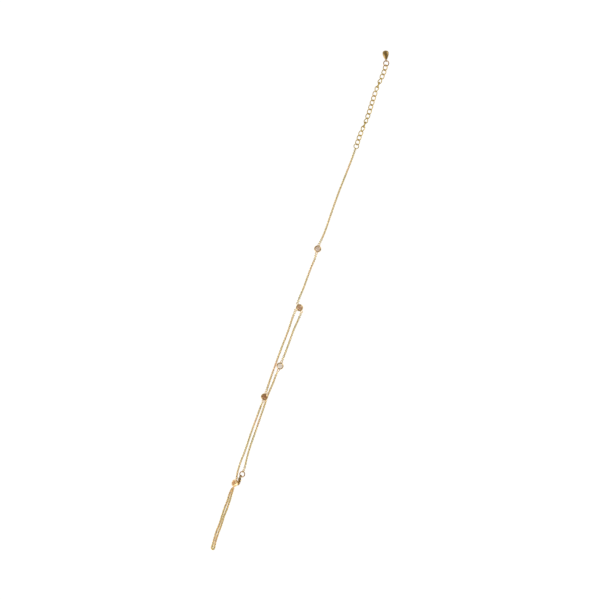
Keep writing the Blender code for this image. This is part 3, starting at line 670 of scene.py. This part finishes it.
def row_rolls(count, start_roll, end_roll):
    """Rolls of a row's links, each a quarter turn from the last, eased between its two ends."""
    lying = nearest_turn(FINE_ROLL, start_roll, 90.0)
    closing = nearest_turn(end_roll - 90.0 * ((count - 1) % 2), lying, 180.0)
    rolls = []
    for i in range(count):
        from_start = min(1.0, i / EASE_LINKS)
        from_end = min(1.0, (count - 1 - i) / EASE_LINKS)
        base = start_roll + (lying - start_roll) * from_start
        base += (closing - lying) * (1.0 - from_end)
        slack = random.uniform(-FINE_ROLL_SLACK, FINE_ROLL_SLACK) * min(from_start, from_end)
        rolls.append(base + slack + 90.0 * (i % 2))
    return rolls


def link_row(name, route, start, end):
    """A row of fine links along a route between two eyes. start and end are (eye, way, shift)."""
    ends = []
    for eye, way, shift in (start, end):
        near = eye.radius - (eye.wire + FINE_LINK_WIRE) / 2.0 - HANG_GAP / 2.0
        base = eye.centre + shift
        ends.append((base + way * near, base + way * (eye.radius + eye.wire / 2.0 + STRAND_GAP)))
    curve = smooth_curve([ends[0][1]] + route + [ends[1][1]], start_way=start[1], end_way=-end[1])
    path = [ends[0][0]] + curve + [ends[1][0]]
    length = measured(path)[-1]
    half = (FINE_LENGTH - FINE_LINK_WIRE) / 2.0
    count = 1 + math.ceil((length - 2.0 * half) / FINE_PITCH)
    middles = np.linspace(half, length - half, count)
    places = at_distances(path, middles)
    befores = at_distances(path, middles - half)
    afters = at_distances(path, middles + half)
    first_way = (afters[0] - befores[0]).normalized()
    last_way = (afters[-1] - befores[-1]).normalized()
    rolls = row_rolls(count, roll_of(start[0].axis, first_way), roll_of(end[0].axis, last_way))
    link_line = oval(FINE_LENGTH - FINE_LINK_WIRE, FINE_WIDTH - FINE_LINK_WIRE, FINE_STEPS)
    base_points, base_quads = wire_arrays(link_line, FINE_LINK_WIRE, FINE_SIDES)
    vertices, quads = [], []
    for i, (place, before, after, roll) in enumerate(zip(places, befores, afters, rolls)):
        tangent = (after - before).normalized()
        side = UP.cross(tangent).normalized()
        over = tangent.cross(side)
        angle = math.radians(roll)
        across = side * math.cos(angle) + over * math.sin(angle)
        normal = tangent.cross(across)
        turn = np.array((tangent, across, normal))
        turned_points = base_points @ turn
        middle = np.array((place.x, place.y, max(place.z, -turned_points[:, 2].min())))
        vertices.append(turned_points + middle)
        quads.append(base_quads + i * len(base_points))
    mesh = mesh_from_arrays(name, np.concatenate(vertices), np.concatenate(quads))
    return add_object(name, mesh), count


def make_chains(ears, end_ring, clasp_ring):
    ends = {
        "chain_upper": (end_ring, ears["bezel_1"]["right"]),
        "chain_mid": (ears["bezel_1"]["left"], ears["centre_bezel"]["right"]),
        "clasp_chain_1": (ears["centre_bezel"]["left"], ears["bezel_2"]["right"]),
        "clasp_chain_2": (ears["bezel_2"]["left"], clasp_ring),
        "toe_chain_1": (ears["centre_bezel"]["toe"], ears["bezel_3"]["right"]),
        "toe_chain_2": (ears["bezel_3"]["left"], ears["toe_bezel"]["right"]),
    }
    total = 0
    no_shift = Vector((0.0, 0.0, 0.0))
    for node, (start_eye, end_eye) in ends.items():
        route = on_surface(ROUTES[node], STRAND_DIAMETER / 2.0)
        start = (start_eye, start_eye.towards(route[0]), no_shift)
        end = (end_eye, end_eye.towards(route[-1]), no_shift)
        row, count = link_row(f"{node}_links", route, start, end)
        dress(row, CHAIN_GOLD, "gold", BODY, node)
        total += count
    ear = ears["toe_bezel"]["left"]
    middle = on_surface(ROUTES["toe_loop"], STRAND_DIAMETER / 2.0)
    right, left = [], []
    for i, point in enumerate(middle):
        forward = (middle[min(i + 1, len(middle) - 1)] - middle[max(i - 1, 0)]).normalized()
        side = UP.cross(forward) * TOE_LOOP_SPREAD[i] * MM
        left.append(point + side)
        right.append(point - side)
    ahead = (middle[-1] - middle[-2]).normalized()
    tip = middle[-1] + ahead * TOE_LOOP_SPREAD[-1] * MM
    way = ear.towards(middle[0])
    fan_left = Matrix.Rotation(math.radians(TOE_LOOP_FAN), 3, ear.axis) @ way
    fan_right = Matrix.Rotation(math.radians(-TOE_LOOP_FAN), 3, ear.axis) @ way
    shift = ear.axis.cross(way) * TOE_LOOP_SHIFT
    slack = way * TOE_LOOP_SLACK
    row, count = link_row(
        "toe_loop_links", left + [tip] + right[::-1], (ear, fan_left, shift - slack),
        (ear, fan_right, -shift - slack),
    )
    dress(row, SHADED_LOOP_GOLD, "gold", BODY, "toe_loop")
    print("fine links:", total + count)


# Extender, rings and drop

def link_turn(before, after, roll):
    along = (after - before).to_track_quat("X", "Z").to_matrix()
    return along @ Matrix.Rotation(math.radians(roll), 3, "X")


def extender_link_line():
    return oval(LINK_LENGTH - LINK_WIRE, LINK_WIDTH - LINK_WIRE, WIRE_STEPS, LINK_TWIST)


def lay_links(places, rolls):
    """Lower or raise each link between its neighbours until its wire rests on the surface."""
    centre_line = [Vector(p) for p in extender_link_line()]
    for _ in range(REST_ROUNDS):
        for i, roll in enumerate(rolls, start=1):
            turn = link_turn(places[i - 1], places[i + 1], roll)
            places[i].z = LINK_WIRE / 2.0 - min((turn @ point).z for point in centre_line)


def hung_distance(ring_diameter):
    ring_radius = (ring_diameter - RING_WIRE) / 2.0
    return (LINK_LENGTH - LINK_WIRE) / 2.0 - (LINK_WIRE + RING_WIRE) / 2.0 - RING_GAP + ring_radius


def ring_height(diameter, lean):
    return (diameter - RING_WIRE) / 2.0 * math.sin(math.radians(abs(lean))) + RING_WIRE / 2.0


def make_extender():
    """The extender's links. Returns the places of the end ring and the drop ring."""
    pitch = LINK_LENGTH - 2.0 * LINK_WIRE - HANG_GAP
    curve = smooth_curve(on_surface(ROUTES["extender"], 0.0))
    first = hung_distance(END_RING_DIAMETER)
    distances = [first + pitch * i for i in range(LINK_COUNT)]
    distances = [0.0] + distances + [distances[-1] + hung_distance(DROP_RING_DIAMETER)]
    places = at_distances(curve, distances)
    numbers = list(range(LINK_COUNT, 0, -1))
    rolls = [LINK_ROLLS.get(number, 0.0) for number in numbers]
    places[0].z = ring_height(END_RING_DIAMETER, END_RING_LEAN)
    places[-1].z = ring_height(DROP_RING_DIAMETER, DROP_RING_LEAN)
    lay_links(places, rolls)
    mesh = wire_mesh("curb_link", extender_link_line(), LINK_WIRE)
    for i, (number, roll) in enumerate(zip(numbers, rolls), start=1):
        turn = link_turn(places[i - 1], places[i + 1], roll)
        link = add_object(f"curb_link_{number:02d}", mesh)
        link.matrix_world = Matrix.Translation(places[i]) @ turn.to_4x4()
        dress(link, SHADED_LINK_GOLD, "gold", BODY, f"extender_link_{number:02d}")
    return places[0], places[-1]


def make_ring(node, diameter, place, material, wire=RING_WIRE):
    extra = wire - RING_WIRE
    ring = add_object(f"{node}_round", ring_mesh(node, diameter + extra, wire))
    place = Matrix.Translation((0.0, 0.0, extra / 2.0)) @ place
    ring.matrix_world = place
    dress(ring, material, "gold", BODY, node)
    return Eye(place.translation.copy(), (place.to_3x3() @ UP).normalized(), diameter + extra, wire)


def make_drop(ring):
    angle = math.radians(DROP_HEADING)
    way = Vector((math.cos(angle), math.sin(angle), 0.0))
    hang = ring.towards(ring.centre + way)
    loop_radius = (DROP_THICKNESS - DROP_LOOP_WIRE) / 2.0
    reach = ring.radius + loop_radius - (RING_WIRE + DROP_LOOP_WIRE) / 2.0 - HANG_GAP
    centre = ring.centre + hang * reach
    centre.z = DROP_THICKNESS / 2.0
    half = DROP_WIDTH / 2.0
    outline = smooth_curve([(along, width, 0.0) for along, width in DROP_SHAPE], DROP_SPAN_STEPS)
    profile = [(max(0.0, half * p.y), loop_radius + DROP_LENGTH * p.x) for p in reversed(outline)]
    profile[0] = (0.0, profile[0][1])
    profile[-1] = (0.0, profile[-1][1])
    body = turned("drop_body", profile, DROP_STEPS)
    body.transform(Matrix.Scale(DROP_THICKNESS / DROP_WIDTH, 4, (1.0, 0.0, 0.0)))
    body.transform(Matrix.Rotation(math.radians(90.0), 4, "Y"))
    loop = ring_mesh("drop_loop", DROP_THICKNESS, DROP_LOOP_WIRE, EAR_STEPS)
    broad = Matrix.Scale(DROP_LOOP_BREADTH, 4, UP)
    upright = Matrix.Rotation(math.radians(90.0), 4, "X") @ broad
    mesh = combined("drop_polished", body, [(loop, upright, "UNION")])
    drop = add_object("drop_polished", mesh, DROP_SMOOTH_ANGLE)
    drop.matrix_world = placed(*centre, heading=DROP_HEADING)
    dress(drop, SHADED_GOLD, "gold", BODY, "end_drop")


# Clasp

def claw_mesh():
    """The claw as a body of rounded section swept along its middle line."""
    curve = smooth_curve([(u * MM, v * MM, half * MM) for u, v, half in CLAW], per_span=CLAW_SPAN_STEPS)
    bm = bmesh.new()
    rings = []
    for i, point in enumerate(curve):
        way = curve[min(i + 1, len(curve) - 1)] - curve[max(i - 1, 0)]
        side = Vector((-way.y, way.x, 0.0)).normalized()
        centre = Vector((point.x, point.y, 0.0))
        ring = []
        for k in range(CLAW_SIDES):
            angle = 2.0 * math.pi * k / CLAW_SIDES
            c, s = math.cos(angle), math.sin(angle)
            out = math.copysign(abs(c) ** (2.0 / CLAW_SQUARENESS), c) * point.z
            up = math.copysign(abs(s) ** (2.0 / CLAW_SQUARENESS), s) * CLASP_THICKNESS / 2.0
            ring.append(bm.verts.new(centre + side * out + UP * up))
        rings.append(ring)
    for ring, following in zip(rings, rings[1:]):
        for k in range(CLAW_SIDES):
            beside = (k + 1) % CLAW_SIDES
            bm.faces.new((ring[k], ring[beside], following[beside], following[k]))
    bm.faces.new(rings[0])
    bm.faces.new(rings[-1][::-1])
    return finish_mesh(bm, "claw")


def clasp_lift():
    angle = math.radians(CLASP_LEAN)
    low = min(v - half for _, v, half in CLAW) * MM
    return -low * math.sin(angle) + CLASP_THICKNESS / 2.0 * math.cos(angle)


def clasp_ring_frame(eye_centre):
    radius = (CLASP_RING_DIAMETER - RING_WIRE) / 2.0
    centre = Vector((CLASP_RING_PLACE[0] * MM, CLASP_RING_PLACE[1] * MM, 0.0))
    towards_eye = Vector((eye_centre.x - centre.x, eye_centre.y - centre.y, 0.0)).normalized()
    low = STRAND_DIAMETER / 2.0 + CLASP_RING_RAISE
    slope = (eye_centre.z - low) / (2.0 * radius + EYE_SLACK + RING_WIRE / 2.0 + STRAND_GAP)
    flat = math.sqrt(1.0 - slope * slope)
    up_way = towards_eye * flat + UP * slope
    centre = eye_centre - up_way * (radius + EYE_SLACK)
    side = UP.cross(towards_eye)
    axis = up_way.cross(side).normalized()
    roll = Matrix.Rotation(math.radians(CLASP_RING_ROLL), 3, up_way)
    side, axis = roll @ side, roll @ axis
    return Matrix.Translation(centre) @ Matrix((up_way, side, axis)).transposed().to_4x4()


def make_clasp(place):
    still = Matrix.Identity(4)
    eye = plate("clasp_eye", disc_outline((0.0, 0.0), EYE_DIAMETER / 2.0), EYE_THICKNESS, CLASP_EDGE / 2.0)
    hole = plate("eye_hole", disc_outline((0.0, 0.0), EYE_HOLE / 2.0), CLASP_THICKNESS)
    middle = (SLOT[0] + SLOT[1]) / 2.0
    slot_box = bar_outline((middle, -SLOT_REACH), (middle, SLOT_REACH), SLOT[1] - SLOT[0])
    slot = plate("lever_slot", slot_box, LEVER_THICKNESS + 2.0 * LEVER_GAP)
    pin = plate("clasp_pin", disc_outline(PIVOT, PIN_DIAMETER / 2.0), CLASP_THICKNESS - CLASP_EDGE)
    body = combined("clasp_claw", claw_mesh(), [
        (eye, still, "UNION"), (hole, still, "DIFFERENCE"),
        (slot, still, "DIFFERENCE"), (pin, still, "UNION"),
    ])
    claw = add_object("clasp_claw", body)
    claw.matrix_world = place
    dress(claw, SHADED_GOLD, "gold", BODY, "clasp_body")

    gate_end = (GATE_END[0] - PIVOT[0], GATE_END[1] - PIVOT[1])
    nub_end = (NUB_END[0] - PIVOT[0], NUB_END[1] - PIVOT[1])
    centre = (0.0, 0.0)
    hub = plate("hub", disc_outline(centre, HUB_DIAMETER / 2.0), LEVER_THICKNESS, LEVER_EDGE)
    gate_bar = bar_outline(centre, gate_end, LEVER_WIDTH)
    gate = plate("gate", gate_bar, LEVER_THICKNESS - FACE_STEP, LEVER_EDGE)
    arm_bar = bar_outline(centre, nub_end, LEVER_WIDTH)
    arm = plate("arm", arm_bar, LEVER_THICKNESS - 2.0 * FACE_STEP, LEVER_EDGE)
    nub = plate("nub", disc_outline(nub_end, NUB_RADIUS), NUB_THICKNESS, CLASP_EDGE / 2.0)
    bore = plate("bore", disc_outline(centre, PIN_DIAMETER / 2.0 + PIN_GAP), CLASP_THICKNESS)
    mesh = combined("clasp_gate", hub, [
        (gate, still, "UNION"), (arm, still, "UNION"), (nub, still, "UNION"), (bore, still, "DIFFERENCE"),
    ])
    lever = add_object("clasp_gate", mesh)
    lever.matrix_world = place @ Matrix.Translation((*PIVOT, 0.0))
    dress(lever, GOLD, "gold", LEVER_BODY, "clasp_lever")


# The piece

ears = make_settings()
end_ring_place, drop_ring_place = make_extender()
end_ring = make_ring(
    "extender_end_ring", END_RING_DIAMETER, placed(*end_ring_place, lean=END_RING_LEAN), SHADED_LINK_GOLD,
)
drop_ring = make_ring(
    "drop_ring", DROP_RING_DIAMETER, placed(*drop_ring_place, lean=DROP_RING_LEAN), SHADED_RING_GOLD, STOUT_WIRE,
)
make_drop(drop_ring)
eye_centre = Vector((CLASP_EYE_PLACE[0] * MM, CLASP_EYE_PLACE[1] * MM, clasp_lift()))
make_clasp(placed(*eye_centre, heading=CLASP_HEADING, lean=-CLASP_LEAN))
clasp_ring = make_ring(
    "clasp_ring", CLASP_RING_DIAMETER, clasp_ring_frame(eye_centre), SHADED_RING_GOLD, STOUT_WIRE,
)
make_chains(ears, end_ring, clasp_ring)


# Floor, light and view

def make_floor():
    made, tree, shader = shader_of("pale_floor")
    cloud = noise(tree, 3.0, 2.0)
    tone = ramp(tree, cloud, ((0.3, (0.10, 0.10, 0.10)), (0.7, (0.12, 0.12, 0.12))))
    tree.links.new(tone, shader.inputs["Base Color"])
    glow = ramp(tree, cloud, ((0.3, (0.96, 0.96, 0.96)), (0.7, (0.97, 0.97, 0.97))))
    tree.links.new(glow, shader.inputs["Emission Color"])
    shader.inputs["Emission Strength"].default_value = 1.0
    shader.inputs["Roughness"].default_value = 0.9
    shader.inputs["Specular IOR Level"].default_value = 0.1
    bm = bmesh.new()
    bmesh.ops.create_grid(bm, x_segments=1, y_segments=1, size=FLOOR_HALF)
    floor = add_object("floor", finish_mesh(bm, "floor"))
    floor.data.materials.append(made)
    floor.location.z = -FLOOR_DROP


def make_light(name, place, size, power):
    data = bpy.data.lights.new(name, "AREA")
    data.shape = "RECTANGLE"
    data.size, data.size_y = size
    data.energy = power
    light = bpy.data.objects.new(name, data)
    bpy.context.scene.collection.objects.link(light)
    light.location = place
    light.rotation_euler = (-Vector(place)).to_track_quat("-Z", "Y").to_euler()


def make_world():
    world = bpy.data.worlds.new("studio")
    bpy.context.scene.world = world
    world.use_nodes = True
    tree = world.node_tree
    background = tree.nodes["Background"]
    coords = tree.nodes.new("ShaderNodeTexCoord")
    parts = tree.nodes.new("ShaderNodeSeparateXYZ")
    tree.links.new(coords.outputs["Generated"], parts.inputs["Vector"])
    sky = ramp(tree, parts.outputs["Z"], SKY)
    across = tree.nodes.new("ShaderNodeVectorMath")
    across.operation = "DOT_PRODUCT"
    across.inputs[1].default_value = VIEW_UP.cross(UP)
    tree.links.new(coords.outputs["Generated"], across.inputs[0])
    share = tree.nodes.new("ShaderNodeMapRange")
    share.inputs["From Min"].default_value = -SKY_SIDE
    share.inputs["From Max"].default_value = SKY_SIDE
    share.inputs["To Min"].default_value = LEFT_SKY
    share.inputs["To Max"].default_value = RIGHT_SKY
    tree.links.new(across.outputs["Value"], share.inputs["Value"])
    shaded = tree.nodes.new("ShaderNodeVectorMath")
    shaded.operation = "SCALE"
    tree.links.new(sky, shaded.inputs[0])
    tree.links.new(share.outputs["Result"], shaded.inputs["Scale"])
    tree.links.new(shaded.outputs["Vector"], background.inputs["Color"])
    background.inputs["Strength"].default_value = 1.0


def make_camera():
    data = bpy.data.cameras.new("camera")
    data.sensor_width = SENSOR
    data.lens = SENSOR * VIEW_HEIGHT / VIEW_WIDTH
    data.clip_start = NEAR_CLIP
    data.clip_end = FAR_CLIP
    camera = bpy.data.objects.new("camera", data)
    bpy.context.scene.collection.objects.link(camera)
    right = VIEW_UP.cross(UP)
    turn = Matrix((right, VIEW_UP, UP)).transposed().to_4x4()
    camera.matrix_world = Matrix.Translation((*VIEW_CENTRE, VIEW_HEIGHT)) @ turn
    bpy.context.scene.camera = camera


make_floor()
for light_name, (light_place, light_size, light_power) in LIGHTS.items():
    make_light(light_name, light_place, light_size, light_power)
make_world()
make_camera()
bpy.context.scene.view_settings.view_transform = "Standard"
